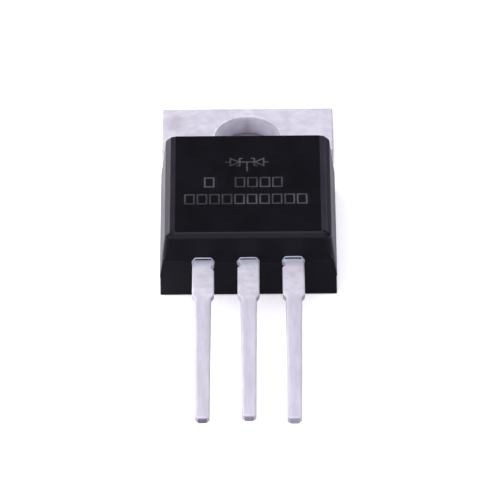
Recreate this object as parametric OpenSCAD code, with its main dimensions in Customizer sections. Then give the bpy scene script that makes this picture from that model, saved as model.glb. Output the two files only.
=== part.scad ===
// Dual Schottky rectifier in a three-lead tab package, lying on its back.
// Millimetres. Z is up and points out of the front face of the moulding.
// The origin is on the axis of the mounting hole, on the seating plane.
// The leads point towards -Y and the tab towards +Y.

/* [Tab and heat sink] */
// How far each side of the tab lies inside the moulding's widest line
tab_inset = 0.02; // [0.02:0.01:0.15]
// Distance from the hole's axis to the top edge of the tab
tab_above_hole = 2.74; // [2.5:0.02:3]
// Thickness of the tab and of the slab inside the moulding
tab_t = 1.27; // [1.15:0.01:1.4]
// Diameter of the mounting hole
hole_d = 3.84; // [3.6:0.02:4]
// Cut across the two top corners of the tab
tab_corner = 0.06; // [0.04:0.02:0.5]
// How far the slab is narrower than the tab on each side
neck_in = 0.45; // [0.3:0.05:0.6]
// Distance from the hole's axis down to where the neck starts
neck_start = 1.12; // [1:0.02:1.4]
// Length of the slab from the top edge of the tab
slab_len = 12.7; // [12.2:0.1:12.8]
// Width of the locking step coined along each lower edge of the slab
lock_w = 0.55; // [0.4:0.05:0.7]
// Height of the locking step
lock_h = 0.5; // [0.4:0.05:0.6]

/* [Moulding] */
// Width of the moulding at its widest line
body_w = 10.04; // [9.9:0.02:10.2]
// Thickness from the seating plane to the front face
body_h = 4.46; // [4.3:0.02:4.6]
// Distance from the hole's axis to the moulding's top end, at the tab
body_top = 3.34; // [3.2:0.02:3.5]
// Distance from the hole's axis to the lead end, at the parting line
body_bottom = 12.73; // [12.6:0.01:12.9]
// Height of the line on the sides where the two mould halves meet
side_line_z = 1.35; // [1.3:0.01:1.5]
// Draft of the two sides in degrees
side_draft = 6.4; // [4:0.1:8]
// Draft of the top end in degrees
top_draft = 7.4; // [5:0.1:9]
// Draft of the lead end in degrees, above the leads
end_draft = 4; // [3:0.1:6]
// Draft in degrees of the sides and the lead end in the lower mould half
under_draft = 1.5; // [0.5:0.1:4]
// Width of the bevel along each side of the front face
bevel_w = 0.58; // [0.4:0.02:0.7]
// Drop of the bevels
bevel_drop = 0.28; // [0.2:0.02:0.4]
// Width of the steeper outer part of each side bevel
bevel_edge_w = 0.29; // [0.2:0.01:0.35]
// Drop of the steeper outer part
bevel_edge_drop = 0.23; // [0.15:0.01:0.26]
// Width of the bevel along the lead end of the front face
end_bevel_w = 0.25; // [0.15:0.05:0.4]
// Step at the parting line, where the lower half is smaller
mould_step = 0.03; // [0.02:0.01:0.05]
// How far the moulding stays above the seating plane
back_relief = 0.04; // [0.02:0.01:0.08]
// Radius of the upright corners at the bevels, where they are fully round
corner_r = 0.45; // [0.2:0.05:0.6]
// Radius of the upright corners from the back to the lead plane
low_corner_r = 0.1; // [0.05:0.01:0.2]

/* [Leads] */
// Distance between neighbouring leads
pitch = 2.54; // [2.5:0.01:2.58]
// Thickness of the leads
lead_t = 0.45; // [0.4:0.01:0.5]
// Height of the top of the leads above the seating plane
lead_z = 2.68; // [2.6:0.02:2.8]
// Width of the leads next to the moulding
shank_w = 1.26; // [1.15:0.01:1.4]
// Length of the wide part outside the moulding
shank_len = 3; // [2.8:0.05:3.2]
// Length of the slope from the wide part to the pin
shoulder_len = 0.34; // [0.2:0.02:0.5]
// Width of the pin below the shoulder
pin_w = 0.92; // [0.85:0.01:1]
// Width of the pin near its tip
pin_tip_w = 0.8; // [0.72:0.01:0.84]
// Length of the leads outside the moulding
lead_len = 13.25; // [12.8:0.05:13.8]
// Cut across the corners of the tips
tip_cut = 0.13; // [0.08:0.01:0.2]

/* [Inner frame] */
// Width of the bonding post at the inner end of an anode lead
post_w = 2.3; // [2:0.1:2.5]
// Length of the bonding post
post_len = 1.4; // [1.2:0.1:1.5]
// Distance from the lead end of the moulding to the post
post_in = 0.75; // [0.6:0.05:0.8]
// Radius of the locking hole through the post's foot
lock_hole_r = 0.3; // [0.2:0.05:0.35]
// Slope in degrees of the ramp that lifts the middle lead from the slab
ramp_angle = 45; // [40:1:55]

/* [Dies and wires] */
// Side of a square die
die_w = 2.4; // [2:0.1:2.8]
// Thickness of a die
die_t = 0.28; // [0.2:0.01:0.35]
// How far the middle of a die lies inwards of its lead's middle line
die_shift = 0.34; // [0.2:0.02:0.5]
// Distance from the hole's axis to the middle of the dies
die_y = 7.4; // [7:0.1:7.8]
// Thickness of the solder under a die
solder_t = 0.05; // [0.03:0.01:0.08]
// How far the solder shows around a die
solder_rim = 0.12; // [0.05:0.01:0.2]
// Width of the bare rim around the die's metal pad
pad_rim = 0.25; // [0.15:0.05:0.4]
// Thickness of the die's metal pad
pad_t = 0.02; // [0.01:0.01:0.03]
// Diameter of a bonding wire
wire_d = 0.38; // [0.3:0.02:0.4]
// Slope in degrees at which a wire leaves the die
wire_up = 50; // [45:1:55]
// Slope in degrees at which a wire comes down to the post
wire_down = 30; // [25:1:35]
// Radius of the bend over each foot of a wire
wire_bend_r = 0.5; // [0.4:0.05:0.6]
// Radius of the bend at the top of a wire's loop
loop_bend_r = 0.7; // [0.6:0.05:0.8]
// Length of a bonded wire foot
foot_len = 0.8; // [0.6:0.05:0.9]
// Width of the pressed sole of a foot
sole_w = 0.52; // [0.45:0.01:0.6]
// Thickness of the pressed sole
sole_t = 0.12; // [0.08:0.01:0.15]

/* [Hidden] */
arc_fn = 64;
round_fn = 48;
wire_sides = 12;
bend_steps = 5;
crest_steps = 8;
over = 1;
sliver = 0.01;
wall_clear = 0.005;
half_body = body_w / 2;
half_tab = half_body - tab_inset;
half_neck = half_tab - neck_in;
tab_top_y = tab_above_hole;
slab_end_y = tab_top_y - slab_len;
body_end_y = -body_bottom;
tip_y = body_end_y - lead_len;
lead_under_z = lead_z - lead_t;
bevel_z = body_h - bevel_drop;
side_in = (bevel_z - side_line_z) * tan(side_draft);
side_under_in = (side_line_z - back_relief) * tan(under_draft);
end_in = (bevel_z - lead_z) * tan(end_draft);
end_under_in = (lead_z - back_relief) * tan(under_draft);
top_in = (body_h - tab_t) * tan(top_draft);
post_end_y = body_end_y + post_in;
post_top_y = post_end_y + post_len;
post_taper = (post_w - shank_w) / 2;
ramp_top_y = slab_end_y - (lead_z - tab_t) / tan(ramp_angle);
ramp_mitre = lead_t * tan(ramp_angle / 2);
strap_grip = 0.5;
lock_inset = 0.6;
die_x = pitch - die_shift;
die_z = tab_t + solder_t;
pad_z = die_z + die_t + pad_t;
post_lean = 0.12;
post_x = pitch + post_lean;
wire_r = wire_d / 2;
wire_lift = 0.02;
wire_low_z = pad_z + wire_r + wire_lift;
wire_high_z = lead_z + wire_r + wire_lift;
die_foot_y = -die_y - foot_len / 2;
post_foot_y = post_end_y + post_len / 2 + foot_len / 2;
// The straight stretch up from the die spans what is left of the reach and the
// climb once the three bends and the stretch down are taken off
loop_reach = die_foot_y - post_foot_y
             - (wire_bend_r + loop_bend_r) * (sin(wire_up) + sin(wire_down));
loop_climb = wire_high_z - wire_low_z
             - (wire_bend_r + loop_bend_r) * (cos(wire_down) - cos(wire_up));
up_run = (loop_reach * sin(wire_down) + loop_climb * cos(wire_down))
         / sin(wire_up + wire_down);
crest_y = die_foot_y - (wire_bend_r + loop_bend_r) * sin(wire_up)
          - up_run * cos(wire_up);
crest_z = wire_low_z + wire_bend_r - (wire_bend_r + loop_bend_r) * cos(wire_up)
          + up_run * sin(wire_up);

// Points of a straight lead about the given middle line, from its start
// inside the moulding down one side to the tip and up the other side.
function lead_points(mid_x, start_y) =
    let (shoulder_y = body_end_y - shank_len,
         pin_y = shoulder_y - shoulder_len)
    [[mid_x + shank_w / 2, start_y],
     [mid_x + shank_w / 2, shoulder_y],
     [mid_x + pin_w / 2, pin_y],
     [mid_x + pin_tip_w / 2, tip_y + tip_cut],
     [mid_x + pin_tip_w / 2 - tip_cut, tip_y],
     [mid_x - pin_tip_w / 2 + tip_cut, tip_y],
     [mid_x - pin_tip_w / 2, tip_y + tip_cut],
     [mid_x - pin_w / 2, pin_y],
     [mid_x - shank_w / 2, shoulder_y],
     [mid_x - shank_w / 2, start_y]];

// Points of the bonding post, up one side and down the other. The post leans
// towards the outer side, clear of the middle lead.
post_points = [[post_x - post_w / 2, post_end_y],
               [post_x - post_w / 2, post_top_y],
               [post_x + post_w / 2, post_top_y],
               [post_x + post_w / 2, post_end_y]];

// Flat anode lead with its bonding post, as it is for the right side.
module anode_blank() {
    translate([0, 0, lead_under_z])
    linear_extrude(height = lead_t)
    difference() {
        polygon(concat(lead_points(pitch, post_end_y - post_taper),
                       post_points));
        // resin runs through this hole and pins the lead
        translate([pitch, post_end_y])
        circle(r = lock_hole_r, $fn = round_fn);
    }
}

module anode_lead_right() {
    color([0.86, 0.84, 0.88])
    anode_blank();
}

module anode_lead_left() {
    color([0.86, 0.84, 0.88])
    mirror([1, 0, 0])
    anode_blank();
}

// Outline of the tab and the slab, without the hole.
module sink_outline() {
    polygon([[-half_tab, -neck_start],
             [-half_tab, tab_top_y - tab_corner],
             [-half_tab + tab_corner, tab_top_y],
             [half_tab - tab_corner, tab_top_y],
             [half_tab, tab_top_y - tab_corner],
             [half_tab, -neck_start],
             [half_neck, -neck_start],
             [half_neck, slab_end_y],
             [-half_neck, slab_end_y],
             [-half_neck, -neck_start]]);
}

// Step coined along the lower edges of the embedded slab; resin fills it.
module lock_cut() {
    run = -body_top - lock_inset - slab_end_y;
    for (low_x = [-half_neck - over, half_neck - lock_w])
        translate([low_x, slab_end_y - over, -over])
        cube([lock_w + over, run + over, lock_h + over]);
    translate([-half_neck - over, slab_end_y - over, -over])
    cube([2 * half_neck + 2 * over, lock_w + over, lock_h + over]);
}

// Side view of the strap that climbs from the slab to the lead plane. Its
// bends are mitred, so it stays as thick as the leads.
module strap_side() {
    polygon([[slab_end_y + strap_grip, tab_t - lead_t],
             [slab_end_y - ramp_mitre, tab_t - lead_t],
             [ramp_top_y - ramp_mitre, lead_under_z],
             [ramp_top_y - ramp_mitre, lead_z],
             [ramp_top_y, lead_z],
             [slab_end_y, tab_t],
             [slab_end_y + strap_grip, tab_t]]);
}

module heat_sink_frame() {
    color([0.87, 0.85, 0.89]) {
        difference() {
            linear_extrude(height = tab_t)
            sink_outline();
            translate([0, 0, -over])
            cylinder(d = hole_d, h = tab_t + 2 * over, $fn = arc_fn);
            lock_cut();
        }
        rotate([90, 0, 90])
        translate([0, 0, -shank_w / 2])
        linear_extrude(height = shank_w)
        strap_side();
        translate([0, 0, lead_under_z])
        linear_extrude(height = lead_t)
        polygon(lead_points(0, ramp_top_y - ramp_mitre));
    }
}

module die_solder(side) {
    half = die_w / 2 + solder_rim;
    translate([side * die_x - half, -die_y - half, tab_t])
    cube([2 * half, 2 * half, solder_t]);
}

module schottky_die(side) {
    half = die_w / 2;
    pad_half = half - pad_rim;
    translate([side * die_x - half, -die_y - half, die_z])
    cube([die_w, die_w, die_t]);
    translate([side * die_x - pad_half, -die_y - pad_half, die_z])
    cube([2 * pad_half, 2 * pad_half, die_t + pad_t]);
}

// Middle line of a wire from the die's pad to the post, as [y, z, slope].
// The wire runs towards -Y.
wire_path = concat(
    [[die_foot_y + foot_len, wire_low_z, 0]],
    [for (i = [0:bend_steps])
        let (a = wire_up * i / bend_steps)
        [die_foot_y - wire_bend_r * sin(a),
         wire_low_z + wire_bend_r * (1 - cos(a)), a]],
    [for (i = [0:crest_steps])
        let (a = wire_up - (wire_up + wire_down) * i / crest_steps)
        [crest_y + loop_bend_r * sin(a), crest_z + loop_bend_r * cos(a), a]],
    [for (i = [0:bend_steps])
        let (a = -wire_down * (1 - i / bend_steps))
        [post_foot_y - wire_bend_r * sin(a),
         wire_high_z + wire_bend_r * (1 - cos(a)), a]],
    [[post_foot_y - foot_len, wire_high_z, 0]]);

// One ring of points round each point of the middle line.
wire_points = [for (p = wire_path)
    for (k = [0:wire_sides - 1])
        let (t = 360 * k / wire_sides)
        [wire_r * cos(t),
         p[0] + wire_r * sin(t) * sin(p[2]),
         p[1] + wire_r * sin(t) * cos(p[2])]];

wire_skin = [for (i = [0:len(wire_path) - 2])
    for (k = [0:wire_sides - 1])
        let (here = i * wire_sides,
             ahead = here + wire_sides,
             next = (k + 1) % wire_sides)
        [here + k, ahead + k, ahead + next, here + next]];

wire_last = (len(wire_path) - 1) * wire_sides;
wire_ends = [[for (k = [0:wire_sides - 1]) k],
             [for (k = [wire_sides - 1:-1:0]) wire_last + k]];

// Sole of a foot, which the bonding tool pressed flat.
module wire_sole(y, seat_z) {
    translate([-sole_w / 2, y, seat_z])
    cube([sole_w, foot_len, sole_t]);
}

module bond_wire(side) {
    translate([side * die_x, 0, 0]) {
        polyhedron(points = wire_points, faces = concat(wire_skin, wire_ends));
        wire_sole(die_foot_y, pad_z);
        wire_sole(post_foot_y - foot_len, lead_z);
    }
}

module die_solder_left() {
    color([0.55, 0.55, 0.58])
    die_solder(-1);
}

module die_solder_right() {
    color([0.55, 0.55, 0.58])
    die_solder(1);
}

module schottky_die_left() {
    color([0.35, 0.35, 0.42])
    schottky_die(-1);
}

module schottky_die_right() {
    color([0.35, 0.35, 0.42])
    schottky_die(1);
}

module bond_wire_left() {
    color([0.8, 0.8, 0.82])
    bond_wire(-1);
}

module bond_wire_right() {
    color([0.8, 0.8, 0.82])
    bond_wire(1);
}

// Seen from the lead end: the drafted sides, their step and the bevels.
module end_view() {
    top_half = half_body - side_in;
    under_half = half_body - mould_step;
    edge_half = top_half - bevel_edge_w;
    edge_z = bevel_z + bevel_edge_drop;
    polygon([[-top_half + bevel_w, body_h],
             [top_half - bevel_w, body_h],
             [edge_half, edge_z],
             [top_half, bevel_z],
             [half_body, side_line_z],
             [under_half, side_line_z],
             [under_half - side_under_in, back_relief],
             [-under_half + side_under_in, back_relief],
             [-under_half, side_line_z],
             [-half_body, side_line_z],
             [-top_half, bevel_z],
             [-edge_half, edge_z]]);
}

// Seen from the right: the top end, the front face and the lead end.
module side_view() {
    face_end_y = body_end_y + end_in + end_bevel_w;
    polygon([[-body_top - top_in, body_h],
             [-body_top, tab_t],
             [-body_top, back_relief],
             [body_end_y + mould_step + end_under_in, back_relief],
             [body_end_y + mould_step, lead_z],
             [body_end_y, lead_z],
             [body_end_y + end_in, bevel_z],
             [face_end_y, body_h]]);
}

// Plan of the moulding with rounded corners, for walls that stand in from its
// widest outline by the given amounts. It keeps clear of the walls themselves.
module plan_view(in_x, in_near, in_far, r) {
    mid_x = half_body - in_x - r;
    near_y = body_end_y + in_near + r;
    far_y = -body_top - in_far - r;
    offset(r = r + wall_clear, $fn = round_fn)
    polygon([[-mid_x, near_y],
             [mid_x, near_y],
             [mid_x, far_y],
             [-mid_x, far_y]]);
}

// The upright corners: nearly sharp up to the lead plane and rounder from
// there up to the bevels.
module corner_form() {
    linear_extrude(height = lead_z + sliver)
    plan_view(0, 0, 0, low_corner_r);
    hull() {
        translate([0, 0, lead_z])
        linear_extrude(height = sliver)
        plan_view((lead_z - side_line_z) * tan(side_draft), 0,
                  (lead_z - tab_t) * tan(top_draft), low_corner_r);
        translate([0, 0, bevel_z])
        linear_extrude(height = bevel_drop + over)
        plan_view(side_in, end_in, (bevel_z - tab_t) * tan(top_draft), corner_r);
    }
}

module mould_form() {
    intersection() {
        rotate([90, 0, 0])
        linear_extrude(height = body_bottom + over)
        end_view();
        rotate([90, 0, 90])
        translate([0, 0, -half_body - over])
        linear_extrude(height = body_w + 2 * over)
        side_view();
        corner_form();
    }
}

// Resin fills everything inside its form that metal and silicon leave free.
module moulded_body() {
    color([0.1, 0.1, 0.11])
    difference() {
        mould_form();
        heat_sink_frame();
        anode_lead_left();
        anode_lead_right();
        die_solder(-1);
        die_solder(1);
        schottky_die(-1);
        schottky_die(1);
        bond_wire(-1);
        bond_wire(1);
    }
}

heat_sink_frame();
anode_lead_left();
anode_lead_right();
die_solder_left();
die_solder_right();
schottky_die_left();
schottky_die_right();
bond_wire_left();
bond_wire_right();
moulded_body();
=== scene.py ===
import bmesh
import bpy
import math
from mathutils import Matrix, Vector, noise
from mathutils.geometry import tessellate_polygon


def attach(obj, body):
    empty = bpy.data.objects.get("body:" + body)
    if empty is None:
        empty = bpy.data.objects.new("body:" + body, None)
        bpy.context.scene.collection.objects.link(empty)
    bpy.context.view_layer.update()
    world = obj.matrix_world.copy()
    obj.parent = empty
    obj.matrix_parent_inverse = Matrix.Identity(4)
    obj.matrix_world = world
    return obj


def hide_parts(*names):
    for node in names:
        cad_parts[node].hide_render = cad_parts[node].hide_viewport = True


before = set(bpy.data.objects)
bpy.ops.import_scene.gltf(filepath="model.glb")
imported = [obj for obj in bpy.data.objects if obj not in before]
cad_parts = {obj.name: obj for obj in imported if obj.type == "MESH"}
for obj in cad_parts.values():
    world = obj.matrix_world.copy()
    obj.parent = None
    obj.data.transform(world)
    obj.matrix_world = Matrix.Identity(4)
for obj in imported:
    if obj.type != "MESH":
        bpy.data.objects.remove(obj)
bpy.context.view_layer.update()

# Camera. A long lens looks at the lead end from 40 degrees above the table,
# turned and tilted by a fraction of a degree as the photo was taken.
azimuth, elevation, roll = math.radians(0.2), math.radians(40.05), math.radians(0.6)
ahead = Vector((-math.sin(azimuth) * math.cos(elevation),
                math.cos(azimuth) * math.cos(elevation), -math.sin(elevation)))
level = Vector((math.cos(azimuth), math.sin(azimuth), 0))
upward = level.cross(ahead)
right = math.cos(roll) * level - math.sin(roll) * upward
upright = math.sin(roll) * level + math.cos(roll) * upward
aim = Vector((0, -0.010, 0.002)) - right * 0.000243 - upright * 0.000336
camera = bpy.data.objects.new("camera", bpy.data.cameras.new("camera"))
camera.data.lens = 389.2
camera.data.clip_start, camera.data.clip_end = 0.02, 20
camera.matrix_world = Matrix.Translation(aim - ahead * 0.300) @ Matrix(
    (right, upright, -ahead)).transposed().to_4x4()
bpy.context.scene.collection.objects.link(camera)
bpy.context.scene.camera = camera
bpy.context.scene.view_settings.view_transform = "Standard"


# Floor and light. A white table under a pale dome, with a large soft box above
# it, a smaller one low behind its left side and a dark card behind the tab, so
# the left faces are bright, the right ones grey and the front face is black.
class Value:
    """A shader socket that takes part in sums, each as one Math node."""

    tree = None

    def __init__(self, socket):
        self.socket = socket

    @classmethod
    def node(cls, kind, inputs=(), out=0, **settings):
        """The output of a new node, with its inputs set or linked."""
        made = cls.tree.nodes.new(kind)
        for name, setting in settings.items():
            setattr(made, name, setting)
        for key, given in dict(inputs).items():
            if isinstance(given, Value):
                cls.tree.links.new(given.socket, made.inputs[key])
            else:
                made.inputs[key].default_value = given
        return Value(made.outputs[out])

    @classmethod
    def math(cls, operation, *given):
        return cls.node("ShaderNodeMath", enumerate(given), operation=operation)

    def __add__(self, other):
        return Value.math("ADD", self, other)

    def __radd__(self, other):
        return Value.math("ADD", other, self)

    def __sub__(self, other):
        return Value.math("SUBTRACT", self, other)

    def __rsub__(self, other):
        return Value.math("SUBTRACT", other, self)

    def __mul__(self, other):
        return Value.math("MULTIPLY", self, other)

    def __rmul__(self, other):
        return Value.math("MULTIPLY", other, self)

    def __abs__(self):
        return Value.math("ABSOLUTE", self)

    def least(self, other):
        return Value.math("MINIMUM", self, other)

    def most(self, other):
        return Value.math("MAXIMUM", self, other)

    def rise(self, low, high):
        """0 below low and 1 above high, with a smooth step between them."""
        return Value.node("ShaderNodeMapRange", {0: self, 1: low, 2: high},
                          interpolation_type="SMOOTHSTEP")

    def axis(self, letter):
        return Value.node("ShaderNodeSeparateXYZ", {0: self}, out=letter)

    def scaled(self, x, y, z):
        return Value.node("ShaderNodeVectorMath", {0: self, 1: (x, y, z)},
                          operation="MULTIPLY")

    def noise(self, size, detail=2.0, roughness=0.5):
        """Soft noise from 0 to 1, whose lumps are about size across."""
        return Value.node("ShaderNodeTexNoise", {"Vector": self, "Scale": 1 / size,
                          "Detail": detail, "Roughness": roughness})

    def blend(self, start, end):
        """From start to end, two colours or colour sockets, as self goes 0 to 1."""
        return Value.node("ShaderNodeMix", {0: self, 6: start, 7: end}, out=2,
                          data_type="RGBA")


def new_material(name, **uniform):
    """A Principled material with those uniform inputs, its shader and its place."""
    made = bpy.data.materials.new(name)
    made.use_nodes = True
    Value.tree = made.node_tree
    shader = made.node_tree.nodes["Principled BSDF"]
    for key, given in uniform.items():
        shader.inputs[key.replace("_", " ")].default_value = given
    place = Value.node("ShaderNodeTexCoord", out="Object").scaled(1000, 1000, 1000)
    return made, shader, place


def feed(shader, key, value):
    Value.tree.links.new(value.socket, shader.inputs[key])


def mesh_piece(name, points, faces, materials):
    """A smooth mesh from points in millimetres, standing in the shared frame."""
    mesh = bpy.data.meshes.new(name)
    mesh.from_pydata([[c / 1000 for c in p] for p in points], [], faces)
    form = bmesh.new()
    form.from_mesh(mesh)
    bmesh.ops.recalc_face_normals(form, faces=form.faces)
    form.to_mesh(mesh)
    form.free()
    mesh.shade_smooth()
    for material in materials:
        mesh.materials.append(material)
    made = bpy.data.objects.new(name, mesh)
    bpy.context.scene.collection.objects.link(made)
    return made


table_white, shader, place = new_material(
    "table_white", Roughness=0.9, Specular_IOR_Level=0.1, Emission_Strength=0.22)
seen = Value.node("ShaderNodeLightPath", out="Is Camera Ray")
mirrored = Value.node("ShaderNodeLightPath", out="Is Glossy Ray")
# painted shade: the table is dark inside the mounting hole, and it glows a little elsewhere
in_the_open = Value.node("ShaderNodeVectorMath", {0: place}, out="Value",
                         operation="LENGTH").rise(2.2, 3.2)
glow = (seen + mirrored) * in_the_open
seen_with_painted_shade = in_the_open.blend((0.16, 0.15, 0.17, 1), (1, 1, 1, 1))
# painted light: the colour it throws back is pale on the left, grey on the right and at the
# leads
painted_cast = place.axis("X").rise(-8, 8).blend((0.96, 0.95, 1.00, 1), (0.53, 0.53, 0.62, 1))
painted_cast = place.axis("Y").rise(-17, -13).blend((0.52, 0.51, 0.57, 1), painted_cast)
painted_cast_less_glow = Value.node("ShaderNodeVectorMath", {0: painted_cast, 1: (0.16, 0.16, 0.16)},
                            operation="SUBTRACT")
feed(shader, "Base Color", seen.blend(mirrored.blend(painted_cast, painted_cast_less_glow), seen_with_painted_shade))
feed(shader, "Emission Color", glow.blend((0, 0, 0, 1), (1, 1, 1, 1)))
floor_half, floor_z = 2000, -0.01
floor = mesh_piece("floor", [(x * floor_half, y * floor_half, floor_z)
                             for x, y in ((-1, -1), (1, -1), (1, 1), (-1, 1))],
                   [(0, 1, 2, 3)], [table_white])

world = bpy.data.worlds.new("dome")
world.use_nodes = True
bpy.context.scene.world = world
Value.tree = world.node_tree
ray = Value.node("ShaderNodeTexCoord", out="Generated")
# the card stands where the front face mirrors it towards the camera
way_to_card = (0.0, 0.766, 0.643)
card = Value.node("ShaderNodeVectorMath", {0: ray, 1: way_to_card}, out="Value",
                  operation="DOT_PRODUCT")
dome = ray.axis("X").rise(-0.7, 0.8).blend((0.95, 0.94, 1.0, 1), (0.68, 0.67, 0.75, 1))
feed(world.node_tree.nodes["Background"], "Color",
     card.rise(0.88, 0.985).blend(dome, (0.15, 0.145, 0.18, 1)))

lit_spot = Vector((0, -0.01, 0))
for name, stand, width, height, power in (
        ("soft_box_left", (-0.40, 0.44, 0.13), 0.40, 0.22, 1.10),
        ("soft_box_top", (-0.20, -0.30, 0.66), 1.40, 1.20, 8.8)):
    light = bpy.data.lights.new(name, "AREA")
    light.shape, light.size, light.size_y = "RECTANGLE", width, height
    light.energy = power
    light.color = (0.96, 0.915, 1.0)
    lamp = bpy.data.objects.new(name, light)
    lamp.location = stand
    lamp.rotation_mode = "QUATERNION"
    lamp.rotation_quaternion = (lit_spot - lamp.location).to_track_quat("-Z", "Y")
    bpy.context.scene.collection.objects.link(lamp)


# Moulded body. Black filled epoxy, pressed in a spark-eroded two-part mould;
# the halves leave a fine step at the lead plane and low along the sides.
arc_steps = 4


def soft_arc(start, corner, end):
    """The points of a curve from start to end that is pulled towards the corner."""
    return [start.lerp(corner, t).lerp(corner.lerp(end, t), t)
            for t in (k / arc_steps for k in range(arc_steps + 1))]


def soften(corners, cuts):
    """A profile through corners (out, z, radius) with each corner as a soft arc.

    cuts gives how many stretches lie between one corner's arc and the next.
    """
    arcs = []
    for i, (out, z, radius) in enumerate(corners):
        here = Vector((out, z))
        if i in (0, len(corners) - 1):
            arcs.append([here])
            continue
        before = here - Vector(corners[i - 1][:2])
        after = Vector(corners[i + 1][:2]) - here
        reach = radius * math.tan(max(before.angle(after), 0.05) / 2)
        reach = min(reach, 0.45 * before.length, 0.45 * after.length)
        arcs.append(soft_arc(here - before.normalized() * reach, here,
                             here + after.normalized() * reach))
    line = list(arcs[0])
    for arc, n in zip(arcs[1:], cuts):
        line += [line[-1].lerp(arc[0], k / n) for k in range(1, n)] + arc
    return line


def between(at, stops):
    """The value at a point of a line through (point, value) stops."""
    for (low, start), (high, end) in zip(stops, stops[1:]):
        if at < high:
            t = min(max((at - low) / (high - low), 0), 1)
            return start + (end - start) * t
    return stops[-1][1]


# All profiles have the same count of points, and each point is a station of the
# body. Their corners are an inner point of the back, the back's edge, both edges
# of the mould step, the three edges of the bevel and an inner point of the face.
body_cuts = (1, 22, 1, 26, 3, 4, 3)
side_profile = soften(((4.80, 0.04, 0), (5.012, 0.04, 0.03), (4.996, 1.35, 0.01),
                       (5.020, 1.35, 0.01), (4.703, 4.180, 0.10), (4.413, 4.410, 0.10),
                       (4.1226, 4.460, 0.12), (3.95, 4.460, 0)), body_cuts)
tab_profile = soften(((3.60, 0.04, 0), (3.345, 0.04, 0.03), (3.345, 1.300, 0.01),
                      (3.350, 1.340, 0.01), (3.718, 4.180, 0.10), (3.736, 4.330, 0.05),
                      (3.754, 4.460, 0.06), (3.90, 4.460, 0)), body_cuts)


def end_profile(x):
    """Profile of the lead end, where the parting line dips between the leads."""
    dip = min(max((3.75 - abs(x)) / 0.35, 0), 1)
    part = 2.57 - 0.17 * dip * dip * (3 - 2 * dip)
    return soften(((-12.40, 0.04, 0), (-12.625, 0.04, 0.03), (-12.700, part, 0.01),
                   (-12.728, part, 0.01), (-12.625, 4.180, 0.12), (-12.500, 4.330, 0.05),
                   (-12.375, 4.460, 0.08), (-12.20, 4.460, 0)), body_cuts)


def arc_start(corner):
    """The station at which the arc of the profiles' nth corner starts."""
    return 1 + (arc_steps + 1) * (corner - 1) + sum(body_cuts[:corner]) - corner


side_wall = ((0.08, 5.012), (1.35, 5.005), (4.18, 4.703))
end_wall = ((0.08, -12.625), (2.57, -12.705), (2.58, -12.725), (4.18, -12.625))
station_count = len(side_profile)
foot, parting = arc_start(1) + arc_steps, arc_start(3) + 3
bevel_low, bevel_top = arc_start(4) - 1, arc_start(6) + arc_steps
end_count, side_count, tab_count, corner_count = 180, 60, 64, 9


def body_ring(station):
    """One closed loop of points round the body, counter-clockwise from above.

    The lead end and the sides have their own heights at a station, so the two
    near corners climb from one to the other along the real walls.
    """
    def side(start, end, count, z=None):
        for k in range(count):
            x, y = start[0] + (end[0] - start[0]) * k / count, start[1]
            if z is None:
                loop.append((x, *end_profile(x)[station]))
            else:
                loop.append((x, y + (end[1] - y) * k / count, z))

    def corner(x, y, radius, turn, start_z, end_z):
        for k in range(corner_count):
            angle = math.pi / 2 * k / corner_count
            blend = math.sin(angle) ** 2
            loop.append((x + radius * math.cos(angle + turn),
                         y + radius * math.sin(angle + turn),
                         start_z + (end_z - start_z) * blend))

    def near_corner(way, radius, turns):
        for turn in turns:
            blend = math.sin(turn) ** 2
            z = near_z + (side_z - near_z) * blend
            x, y = half, near
            if on_walls:
                x = between(z, side_wall) + (half - between(side_z, side_wall)) * blend
                y = between(z, end_wall) + (near - between(near_z, end_wall)) * (1 - blend)
            loop.append((way * (x - radius * (1 - math.sin(turn))),
                         y + radius * (1 - math.cos(turn)), z))

    half, side_z = side_profile[station]
    far, far_z = -tab_profile[station][0], tab_profile[station][1]
    on_walls = foot < station < bevel_low
    # the upright corners are sharp up to the parting line, then round, and small
    # again at the face
    radii = [between(station, ((parting, 0.05), (parting + 3, 0.08), (parting + 13, full),
                               (bevel_low, full), (bevel_low + 9, small + 0.06),
                               (bevel_top, small)))
             for full, small in ((0.50, 0.10), (0.30, 0.04), (0.30, 0.04), (0.34, 0.12))]
    near, near_z = end_profile(half - 0.3)[station]
    loop, quarter = [], math.pi / 2
    turns = [quarter * k / corner_count for k in range(corner_count + 1)]
    half_near = between(near_z, side_wall) if on_walls else half
    side_near = between(side_z, end_wall) if on_walls else near
    side((-half_near + radii[3], 0), (half_near - radii[0], 0), end_count)
    near_corner(1, radii[0], turns[:-1])
    side((half, side_near + radii[0]), (half, far - radii[1]), side_count, side_z)
    corner(half - radii[1], far - radii[1], radii[1], 0, side_z, far_z)
    side((half - radii[1], far), (-half + radii[2], far), tab_count, far_z)
    corner(-half + radii[2], far - radii[2], radii[2], quarter, far_z, side_z)
    side((-half, far - radii[2]), (-half, side_near + radii[3]), side_count, side_z)
    near_corner(-1, radii[3], turns[:0:-1])
    return loop


def skin(faces, first, size, count, capped=True):
    """Adds the faces between closed rings of points, and a cap at both ends.

    The points start at the index first, in count rings of size points each.
    """
    for ring in range(count - 1):
        for k in range(size):
            a, b = first + ring * size + k, first + ring * size + (k + 1) % size
            faces.append((a, b, b + size, a + size))
    if capped:
        last = first + (count - 1) * size
        faces.append(tuple(range(first, first + size)))
        faces.append(tuple(range(last, last + size)))


body_points = [p for station in range(station_count) for p in body_ring(station)]
ring_size = len(body_points) // station_count
body_faces = []
skin(body_faces, 0, ring_size, station_count)

epoxy, shader, place = new_material("moulding_epoxy", IOR=1.5, Specular_IOR_Level=0.14,
                                    Specular_Tint=(0.90, 0.87, 1.0, 1))


def box_outline(x, y, half_x, half_y):
    """Distance in millimetres to the rim of a box, negative inside it."""
    return (abs(x) - half_x).most(abs(y) - half_y)


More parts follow.
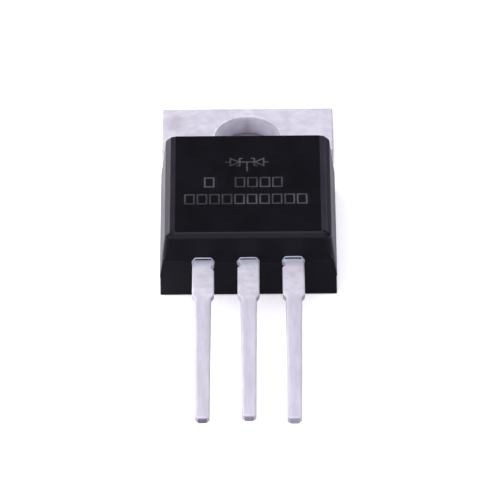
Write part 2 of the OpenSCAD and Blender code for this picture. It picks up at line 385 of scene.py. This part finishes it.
# The laser marks are the plain symbol of two diodes with a common cathode and
# two rows of empty boxes.
stroke, box_pitch = 0.045, 0.71
mark_x, mark_y = place.axis("X"), place.axis("Y")
across, along = abs(mark_x + 0.04), mark_y + 6.17
triangle = (across - 0.95).most((abs(along) - (across - 0.45) * 0.66) * 0.835)
symbol = abs(triangle) - stroke
for middle, low, half_x, half_y in ((0.42, 0, stroke, 0.36), (0.34, 0.33, 0.10, stroke),
                                    (0.50, -0.33, 0.10, stroke), (1.10, 0, 0.15, stroke),
                                    (0.20, 0, 0.22, stroke), (0, -0.42, stroke, 0.42)):
    symbol = symbol.least(box_outline(across - middle, along - low, half_x, half_y))
for start, count, row_y in ((-2.50, 1, -7.98), (-0.75, 4, -7.98), (-3.62, 10, -9.48)):
    cell = Value.math("WRAP", mark_x - start, 0.0, box_pitch)
    boxes = abs(box_outline(cell - 0.305, mark_y - row_y, 0.255, 0.40)) - stroke
    reach = count * box_pitch / 2
    row = box_outline(mark_x - (start + reach), mark_y - row_y, reach, 0.5)
    symbol = symbol.least(boxes.most(row))
grain = place.noise(0.05, 3, 0.6)
cloud = place.noise(1.7, 3, 0.55)
streaks = place.scaled(1, 0.3, 1).noise(0.5, 3, 0.6)
on_face = place.axis("Z").rise(4.43, 4.45)
mark = (1 - (symbol + 0.05 * (grain - 0.5)).rise(-0.012, 0.012)) * on_face
mark = mark * (0.45 + 0.55 * cloud.rise(0.35, 0.6))
painted_sheen = Value.node("ShaderNodeAttribute", attribute_name="edge", out="Fac")
plain = cloud.rise(0.3, 0.7).blend((0.0016, 0.0016, 0.0024, 1), (0.0028, 0.0025, 0.0042, 1))
# painted sheen: the marked edges and bevels get a paler, streaky epoxy colour
lined = (painted_sheen * (0.35 + 0.65 * streaks)).blend(plain, (0.030, 0.027, 0.038, 1))
feed(shader, "Base Color", mark.blend(lined, (0.062, 0.060, 0.066, 1)))
feed(shader, "Roughness", 0.24 + 0.08 * cloud + 0.08 * streaks + 0.3 * mark)
feed(shader, "Normal", Value.node("ShaderNodeBump", {
    "Strength": 0.12, "Distance": 0.00001, "Height": grain + 0.6 * place.noise(0.2, 2)}))
moulding = mesh_piece("moulded_body_skin", body_points, body_faces, [epoxy])
# painted highlights: the mould step, the foot of the bevels and the edges of the face are
# paler
ring_highlight = {parting - 1: 0.3, parting: 0.4, parting + 1: 0.3, bevel_low + 2: 0.3,
             bevel_top - 5: 0.4, bevel_top - 4: 0.7, bevel_top - 3: 0.5}


def painted_highlight_at(ring, x, y):
    """How pale the epoxy is painted: highlight lines along its edges, and painted sheen on the
    inner side bevels, more on the right.
    """
    highlight_here = ring_highlight.get(ring, 0.0)
    on_bevel = bevel_low + 7 < ring < bevel_top - 3 and abs(x) > 4.1
    if on_bevel and -12.3 < y < -3.8:
        return max(highlight_here, 0.6 if x < 0 else 1.0)
    return highlight_here


tone_marks = moulding.data.attributes.new("edge", "FLOAT", "POINT")
tone_marks.data.foreach_set("value", [painted_highlight_at(i // ring_size, p[0], p[1])
                                for i, p in enumerate(body_points)])
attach(moulding, "root")
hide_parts("moulded_body")


# Leads. Stamped copper dipped in tin: flat and wide out of the moulding, then
# a shoulder and a slim pin. The tin climbs round each root as a thin collar.
pitch, lead_low, lead_high = 2.54, 2.23, 2.68


def section(x_low, x_high, z_low, z_high, radius):
    """A rectangle with rounded corners in the xz plane, as a closed loop."""
    loop = []
    for x, z, turn, n in ((x_low + radius, z_low + radius, 180, 3),
                          (x_high - radius, z_low + radius, 270, 2),
                          (x_high - radius, z_high - radius, 0, 8),
                          (x_low + radius, z_high - radius, 90, 2)):
        arc = [Vector((x + radius * math.cos(math.radians(turn + 18 * k)),
                       z + radius * math.sin(math.radians(turn + 18 * k))))
               for k in range(6)]
        if loop:
            loop += [loop[-1].lerp(arc[0], k / gap) for k in range(1, gap)]
        loop += arc
        gap = n
    return loop + [loop[-1].lerp(loop[0], k / gap) for k in range(1, gap)]


lead_edge = soften(((0.618, -11.95, 0), (0.618, -15.62, 0.08), (0.455, -15.93, 0.06),
                    (0.40, -25.84, 0.04), (0.275, -25.965, 0)), (60, 3, 130, 2))


def add_lead(points, faces, mid, nick_side, nick_depth, tip, rise, climb):
    """Adds one lead and its tin collar, which stands rise above the usual place.

    The lead has a nick on its right (1) or left (-1) edge, its tip is bent by
    tip, and the tin climbs the wall by climb at its root.
    """
    first = len(points)
    tip_half, tip_y = lead_edge[-1]
    edge = lead_edge + [Vector((tip_half - 0.045, tip_y - 0.015))]
    for half, y in edge:
        nick_y = -13.24 if nick_side > 0 else -13.02
        nick = nick_depth * max(0, 1 - abs((y - nick_y) / 0.26) ** 4)
        fillet = climb * between(-y, ((12.70, 1), (12.88, 0))) ** 2
        bend = Vector(tip) * max(0, (-16 - y) / 10) ** 2
        bevel = 0.04 if y < tip_y else 0
        wave = [0.010 * noise.noise(Vector((mid * 3 + side, y * 0.9, 2.2)))
                for side in (-9, 9)]
        loop = section(mid + bend[0] - half + wave[0] + (nick if nick_side < 0 else 0),
                       mid + bend[0] + half + wave[1] - (nick if nick_side > 0 else 0),
                       lead_low + bevel, lead_high - bevel, 0.11)
        size = len(loop)
        for x, z in loop:
            lump = noise.noise(Vector((x * 2.1, y * 1.3, z))) + 0.5 * noise.noise(
                Vector((x * 5, y * 4, z)))
            points.append((x, y + bend[1], z + bend[2] + 0.012 * lump
                           + (fillet - 0.012 if z > 2.6 else 0)))
    skin(faces, first, size, len(edge))
    # the collar: a narrow band of tin on the wall round the top of the root
    first, size = len(points), 8
    path = ((-0.645, 2.36), (-0.65, 2.55), (-0.60, 2.65), (-0.53, 2.76), (-0.46, 2.85),
            (-0.2, 2.86), (0.2, 2.86), (0.46, 2.85), (0.53, 2.76), (0.60, 2.65),
            (0.65, 2.55), (0.645, 2.36))
    for i, (x, z) in enumerate(path):
        after = path[min(i + 1, len(path) - 1)]
        step = (Vector(after) - Vector(path[max(i - 1, 0)])).normalized()
        out = Vector((-step[1], step[0]))
        width = 0.040 + 0.014 * noise.noise(Vector((mid + x * 2, z * 2, 7)))
        for k in range(size):
            turn = math.tau * k / size
            reach = out * (width * math.cos(turn) - 0.045)
            points.append((mid + x + reach[0], -12.715 - 0.045 * math.sin(turn),
                           z + rise + reach[1]))
    skin(faces, first, size, len(path))


tin, shader, place = new_material("tinned_copper", Metallic=0.34)
# pins are drawn lengthwise, while wide parts and the tab are cloudy
pin = 1 - place.axis("Y").rise(-16.4, -15.8)
outside = 1 - place.axis("Y").rise(-12.6, -12.5)
cloud = ((1 - pin) * place.noise(0.8, 3, 0.6)
         + pin * place.scaled(1.5, 0.22, 1).noise(0.8, 3, 0.6))
drawn = pin * place.scaled(1, 0.10, 1).noise(0.16, 3, 0.6)
drawn = drawn + (1 - pin) * place.scaled(0.75, 1, 1).noise(0.4, 3, 0.6)
speck = place.noise(0.07, 2, 0.6)
tone = (0.5 * cloud + 0.32 * drawn + 0.18 * speck).rise(0.36, 0.64)
coat = tone.blend((0.505, 0.490, 0.550, 1), (0.610, 0.595, 0.645, 1))
# the tin is paler on the tab, and on the wide parts painted light offsets the dark moulding
# they mirror, on the right one less so
wide = (1 - pin) * outside
pale = wide * (1 - 0.5 * place.axis("X").rise(0, 2.5)) + 0.75 * place.axis("Y").rise(-4.2, -4)
coat = pale.blend(coat, tone.blend((0.565, 0.55, 0.60, 1), (0.70, 0.69, 0.74, 1)))
# painted shade: the tin darkens towards the roots and is darker and bluish where it meets the
# moulding
root = place.axis("Y").rise(-13.35, -12.85) * outside
coat = (root * (0.5 + 0.5 * cloud)).blend(coat, (0.42, 0.43, 0.50, 1))
coat = (outside * place.axis("Y").rise(-12.93, -12.80)).blend(coat, (0.36, 0.39, 0.45, 1))
# one faint brown stain lies on the left of the tab
stain = Value.node("ShaderNodeVectorMath", {0: place.scaled(1.0, 0.55, 0), 1: (-4.2, 0.75, 0)},
                   out="Value", operation="DISTANCE")
stain = (1 - (stain + 0.5 * cloud).rise(0.4, 1.0)) * 0.5
coat = stain.blend(coat, (0.40, 0.37, 0.41, 1))
# sheared faces show dark copper and the same mark adds painted shade, but the shear rolls tin
# over each tip's top edge
cut_and_light = Value.node("ShaderNodeAttribute", attribute_name="cut_and_light", out="Fac")
rolled = (1 - place.axis("Y").rise(-25.75, -25.6)) * place.axis("Z").rise(2.52, 2.62)
cut_and_light = cut_and_light * (1 - 0.8 * rolled)
# painted highlight: where the mark is below 0 the tin is made paler
coat = (0 - cut_and_light).most(0).blend(coat, (0.84, 0.82, 0.87, 1))
feed(shader, "Base Color", cut_and_light.most(0).blend(coat, (0.16, 0.145, 0.17, 1)))
feed(shader, "Roughness", 0.40 + 0.12 * cloud + 0.10 * speck)
feed(shader, "Normal", Value.node("ShaderNodeBump", {
    "Strength": 0.35, "Distance": 0.00001, "Height": speck + cloud * 2.5 + drawn}))


# How far each tip is shifted, from the left lead (-1) to the right one (1), and
# how much sooner the sheared end of the middle lead comes than the other two.
lead_tips = {-1: (0.0, 0.0, 0.0), 0: (0.0, 0.15, 0.0), 1: (-0.06, 0.0, -0.08)}
middle_short = 0.149


def cut_and_light_at(x, y, z):
    """Above 0 where the tin is thin on a sheared face or painted shade darkens it, below 0
    where a painted highlight makes it bright.
    """
    mid = pitch * round(x / pitch)
    end = y - (middle_short if mid == 0 else 0)
    if end < -25.96:
        # the sheared end, darker on the left, and its bevelled rim
        return 0.35 if end > -25.975 else 0.76 - 0.08 * mid
    if y < -12.9:
        # the shoulders, their sheared copper darkened as painted shade on the right, painted
        # shade on both edges of the pin and a painted highlight along its left
        off = (x - mid) / between(-y, ((15.6, 0.62), (15.9, 0.455), (25.8, 0.40)))
        if -15.97 < y < -15.58 and z < 2.60:
            return 0.55 if off > 0 or mid > 2 else 0.0
        if y < -15.8 and (z > 2.5 or off < 0):
            return 0.14 if abs(off) > 0.87 else -0.15 if off < -0.62 else 0.0
    if y > -4 and z > 1.1 and (abs(x) > 4.925 or y > 2.665):
        # painted shade on the upper rim of the tab, more of it on the right
        return 0.35 if x > 4.9 else 0.2
    if math.hypot(x, y) < 1.99 and z < 1.2:
        # painted shade on the punched wall of the hole, darker towards its foot and its middle
        return max(0, 0.96 - 0.5 * z - 0.38 * abs(x)
                   + 0.4 * noise.noise(Vector((x * 2, y * 2, 3))))
    return 0.0


def metal_piece(name, points, faces, node):
    """A tinned piece that stands for a CAD node, with its sheared faces, painted shade and
    painted highlights marked.
    """
    made = mesh_piece(name, points, faces, [tin])
    tone_marks = made.data.attributes.new("cut_and_light", "FLOAT", "POINT")
    tone_marks.data.foreach_set("value", [cut_and_light_at(*p) for p in points])
    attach(made, "root")
    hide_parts(node)


for name, mid, nick_side, nick_depth, tip, rise, climb in (
        ("left", -2.555, 1, 0.11, lead_tips[-1], 0.01, 0.02),
        ("right", 2.535, -1, 0.13, lead_tips[1], 0.07, 0.07)):
    points, faces = [], []
    add_lead(points, faces, mid, nick_side, nick_depth, tip, rise, climb)
    metal_piece("anode_lead_" + name + "_tinned", points, faces, "anode_lead_" + name)


# Heat sink. One copper blank with the middle lead: the tab with its punched
# hole, the side notches and the slab whose lower edges are coined inwards.
def fine_outline(corners, radius, spacing):
    """Closed outline as (x, y, outward x, outward y), its corners rounded."""
    line, count = [], len(corners)
    for i in range(count):
        here = Vector(corners[i])
        before, after = Vector(corners[i - 1]), Vector(corners[(i + 1) % count])
        a = here + (before - here).normalized() * radius
        b = here + (after - here).normalized() * radius
        line += soft_arc(a, here, b)
        c = after + (here - after).normalized() * radius
        n = max(1, round((c - b).length / spacing))
        line += [b.lerp(c, k / n) for k in range(1, n)]
    made = []
    for i, p in enumerate(line):
        step = (line[(i + 1) % len(line)] - line[i - 1]).normalized()
        made.append((p[0], p[1], step[1], -step[0]))
    return made


def add_plate(points, faces, outline, levels, hole_levels):
    """Adds a drilled plate from its (inset, z) and (hole radius, z) levels."""
    first, size, hole_size = len(points), len(outline), 96
    for inset, z in levels:
        points += [(x - nx * inset, y - ny * inset, z) for x, y, nx, ny in outline]
    skin(faces, first, size, len(levels), capped=False)
    hole_first = len(points)
    for radius, z in hole_levels:
        points += [(radius * math.cos(math.tau * k / hole_size),
                    radius * math.sin(math.tau * k / hole_size), z)
                   for k in range(hole_size)]
    skin(faces, hole_first, hole_size, len(hole_levels), capped=False)
    for level in (0, -1):
        outer = range(first + level % len(levels) * size,
                      first + level % len(levels) * size + size)
        start = hole_first + level % len(hole_levels) * hole_size
        chosen = list(outer) + list(range(start, start + hole_size))
        for tri in tessellate_polygon([[Vector(points[i]) for i in outer],
                                       [Vector(points[start + k])
                                        for k in range(hole_size)]]):
            faces.append(tuple(chosen[i] for i in tri))


tab_half, tab_end = 5.0, 2.74
neck_half, neck_y = 4.55, -1.12
coined_half, coined_y = 4.0, -3.94
seam, hole_half = 0.5, 1.94


def tab_corners(slab_half, slab_end):
    """Corners of the tab and of a slab of that half width and that end."""
    near = [(slab_half, slab_end)]
    if slab_half < neck_half:
        near += [(slab_half, coined_y), (neck_half, coined_y + 0.0055)]
    near += [(neck_half, neck_y), (tab_half, neck_y), (tab_half, tab_end)]
    return near + [(-x, y) for x, y in reversed(near)]


# The lower plate has the coined slab and rounded foot edges. The upper one has
# the full slab, and its hole ends in a burr that the punch has raised.
points, faces = [], []
add_plate(points, faces, fine_outline(tab_corners(coined_half, -9.41), 0.1, 0.6),
          ((0.09, 0.0), (0.06, 0.0), (0.03, 0.012), (0.01, 0.035), (0.0, 0.08),
           (0.0, seam - 0.01), (0.0, seam)),
          ((2.10, 0.0), (2.02, 0.0), (1.98, 0.01), (1.955, 0.05), (1.945, 0.25),
           (hole_half, seam - 0.01), (hole_half, seam)))
add_plate(points, faces, fine_outline(tab_corners(neck_half, -9.96), 0.1, 0.6),
          ((0.0, seam), (0.0, seam + 0.01), (0.0, 1.18), (0.004, 1.21), (0.016, 1.24),
           (0.035, 1.26), (0.06, 1.27), (0.09, 1.27)),
          ((hole_half, seam), (hole_half, seam + 0.01), (1.935, 0.84), (1.92, 1.00),
           (1.92, 1.25), (1.925, 1.285), (1.945, 1.30), (1.97, 1.293), (2.02, 1.272),
           (2.06, 1.266), (2.14, 1.266), (2.25, 1.27), (2.45, 1.27)))
add_lead(points, faces, 0.0, -1, 0.15, lead_tips[0], 0.02, 0.05)
metal_piece("heat_sink_frame_tinned", points, faces, "heat_sink_frame")


# Inner pieces. The dies, solder and wires stay the CAD pieces inside the
# moulding and only take the colours of silicon, solder and aluminium.
for name, prefix, colour, metallic, rough in (
        ("silicon", "schottky_die", (0.16, 0.16, 0.20, 1), 0.6, 0.25),
        ("solder", "die_solder", (0.42, 0.42, 0.44, 1), 1.0, 0.40),
        ("aluminium", "bond_wire", (0.80, 0.81, 0.82, 1), 1.0, 0.28)):
    inner, shader, place = new_material(name, Metallic=metallic)
    tone = place.noise(0.2, 3, 0.6)
    dull = tuple(c * 0.8 for c in colour[:3]) + (1,)
    feed(shader, "Base Color", tone.blend(dull, colour))
    feed(shader, "Roughness", rough + 0.15 * tone)
    for side_name in ("left", "right"):
        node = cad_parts[prefix + "_" + side_name]
        node.data.materials.clear()
        node.data.materials.append(inner)
